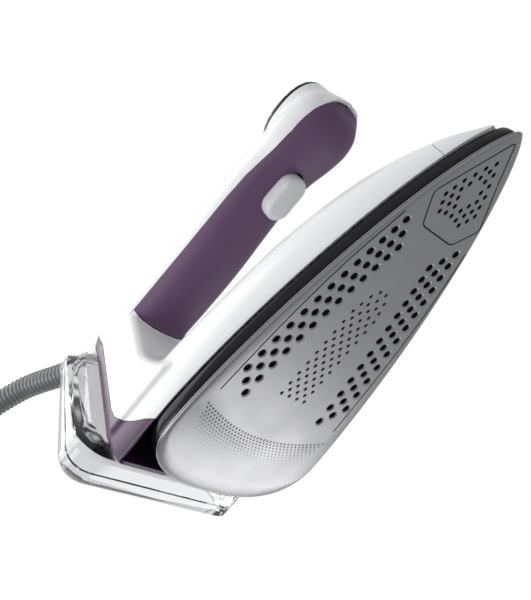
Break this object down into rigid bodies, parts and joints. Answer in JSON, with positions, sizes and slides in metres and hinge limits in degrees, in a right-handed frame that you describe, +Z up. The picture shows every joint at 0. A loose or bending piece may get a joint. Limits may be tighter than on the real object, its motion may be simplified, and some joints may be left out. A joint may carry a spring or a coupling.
{
  "type": "steam generator iron",
  "caption": "Household steam generator iron with perforated soleplate, open handle, sprung steam trigger, clear heel rest and swivelling steam hose.",
  "frame": {"origin": "bottom centre of the iron's own box, its hose left out: on the soleplate's working face", "axes": "+X towards the nose, +Z up from the soleplate to the handle, +Y to the iron's left"},
  "size_m": [0.5702, 0.191, 0.1872],
  "materials": {
    "soleplate": "satin anodised",
    "heater_body": "as cast",
    "heating_element": "satin",
    "chamber_gasket": "silicone",
    "chamber_cover": "zinc plated",
    "temperature_sensor": "zinc plated",
    "thermal_fuse": "ceramic",
    "heat_shield": "black gloss",
    "nose_cap": "white gloss",
    "main_housing": "white gloss",
    "rear_cover": "soft-touch purple",
    "handle_grip": "soft-touch purple",
    "handle_top_shell": "white gloss",
    "control_panel": "black gloss",
    "boost_button": "light grey satin",
    "button_switch": "black",
    "panel_board": "board",
    "status_lens": "lens",
    "heel_rest": "clear polycarbonate",
    "steam_trigger": "light grey satin",
    "trigger_pin": "satin",
    "trigger_spring": "satin",
    "trigger_switch": "black",
    "control_board": "board",
    "wiring_harness": "black",
    "terminal_block": "ceramic",
    "steam_tube": "silicone",
    "hose_swivel": "white gloss",
    "swivel_clip": "zinc plated",
    "strain_relief": "grey",
    "steam_hose": "grey",
    "hose_coil": "grey",
    "hose_connector": "black gloss",
    "heater_screw_front": "zinc plated",
    "housing_screw_front": "zinc plated",
    "heater_screw_left": "zinc plated",
    "housing_screw_left": "zinc plated",
    "heater_screw_right": "zinc plated",
    "housing_screw_right": "zinc plated",
    "heel_screw_left": "zinc plated",
    "heel_screw_right": "zinc plated"
  },
  "bodies": {
    "iron": {"soleplate": "soleplate", "heater_body": "heater_body", "heating_element": "heating_element", "chamber_gasket": "chamber_gasket", "chamber_cover": "chamber_cover", "temperature_sensor": "temperature_sensor", "thermal_fuse": "thermal_fuse", "heat_shield": "heat_shield", "nose_cap": "nose_cap", "main_housing": "main_housing", "rear_cover": "rear_cover", "handle_grip": "handle_grip", "handle_top_shell": "handle_top_shell", "control_panel": "control_panel", "button_switch": "button_switch", "panel_board": "panel_board", "status_lens": "status_lens", "heel_rest": "heel_rest", "trigger_pin": "trigger_pin", "trigger_spring": "trigger_spring", "trigger_switch": "trigger_switch", "control_board": "control_board", "wiring_harness": "wiring_harness", "terminal_block": "terminal_block", "steam_tube": "steam_tube", "steam_hose": "steam_hose", "hose_coil": "hose_coil", "hose_connector": "hose_connector", "heater_screw_front": "heater_screw_front", "housing_screw_front": "housing_screw_front", "heater_screw_left": "heater_screw_left", "housing_screw_left": "housing_screw_left", "heater_screw_right": "heater_screw_right", "housing_screw_right": "housing_screw_right", "heel_screw_left": "heel_screw_left", "heel_screw_right": "heel_screw_right"},
    "trigger": {"steam_trigger": "steam_trigger"},
    "button": {"boost_button": "boost_button"},
    "swivel": {"hose_swivel": "hose_swivel", "swivel_clip": "swivel_clip", "strain_relief": "strain_relief"}
  },
  "joints": [
    {"name": "trigger_press", "type": "hinge", "parent": "iron", "child": "trigger", "pos_m": [0.02235, 0, 0.1067], "axis": [0, -1, 0], "range_deg": [0, 7], "stiffness_Nm_per_rad": 0.05, "springref_deg": -8.59, "deforming": ["trigger_spring"]},
    {"name": "button_press", "type": "slide", "parent": "iron", "child": "button", "axis": [0, 0, -1], "range_m": [0, 0.0008], "stiffness_N_per_m": 150, "springref_m": -0.002},
    {"name": "hose_turn", "type": "hinge", "parent": "iron", "child": "swivel", "pos_m": [-0.10835, 0, 0.12], "axis": [-0.8192, 0, 0.5736], "range_deg": [-180, 180]}
  ]
}
